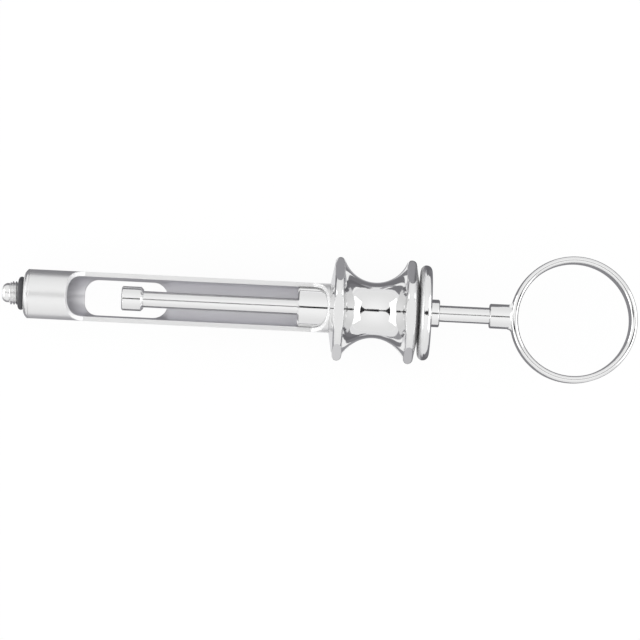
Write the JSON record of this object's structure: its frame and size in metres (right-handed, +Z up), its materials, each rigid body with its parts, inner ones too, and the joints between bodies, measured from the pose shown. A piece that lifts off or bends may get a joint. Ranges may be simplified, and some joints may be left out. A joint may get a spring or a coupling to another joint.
{
  "type": "dental aspirating syringe",
  "caption": "Side loading cartridge syringe with a needle thread, open barrel, spool finger grip, sprung thumb disc and sliding plunger with thumb ring.",
  "frame": {"origin": "middle of the whole length, below the syringe's axis, on the plane of the spool's lower flats", "axes": "+X along the syringe from the needle end to the thumb ring, +Z up out of the spool's upper flats; the loading window and the ring's face are turned 8 degrees from +Z towards +Y"},
  "size_m": [0.1588, 0.0318, 0.024],
  "materials": {
    "satin_steel": "satin",
    "polished_steel": "polished",
    "spring_steel": "drawn wire",
    "seal_rubber": "matte"
  },
  "bodies": {
    "barrel_body": {"barrel": "satin_steel", "needle_adaptor": "polished_steel", "nose_seal": "seal_rubber", "finger_spool": "polished_steel", "return_spring": "spring_steel"},
    "sleeve_body": {"pressure_sleeve": "polished_steel", "thumb_disc": "polished_steel", "lock_collar": "polished_steel"},
    "grip_body": {"grip_ring": "seal_rubber"},
    "plunger_body": {"plunger_rod": "polished_steel", "piston_head": "polished_steel", "ring_hub": "polished_steel", "thumb_ring": "polished_steel"}
  },
  "joints": [
    {"name": "sleeve_slide", "type": "slide", "parent": "barrel_body", "child": "sleeve_body", "axis": [1, 0, 0], "range_m": [0, 0.006], "stiffness_N_per_m": 600, "springref_m": -0.005, "deforming": ["return_spring"]},
    {"name": "plunger_turn", "type": "hinge", "parent": "sleeve_body", "child": "grip_body", "pos_m": [0, 0, 0.012], "axis": [1, 0, 0], "continuous": true},
    {"name": "plunger_slide", "type": "slide", "parent": "grip_body", "child": "plunger_body", "axis": [1, 0, 0], "range_m": [-0.0124, 0.0385]}
  ]
}
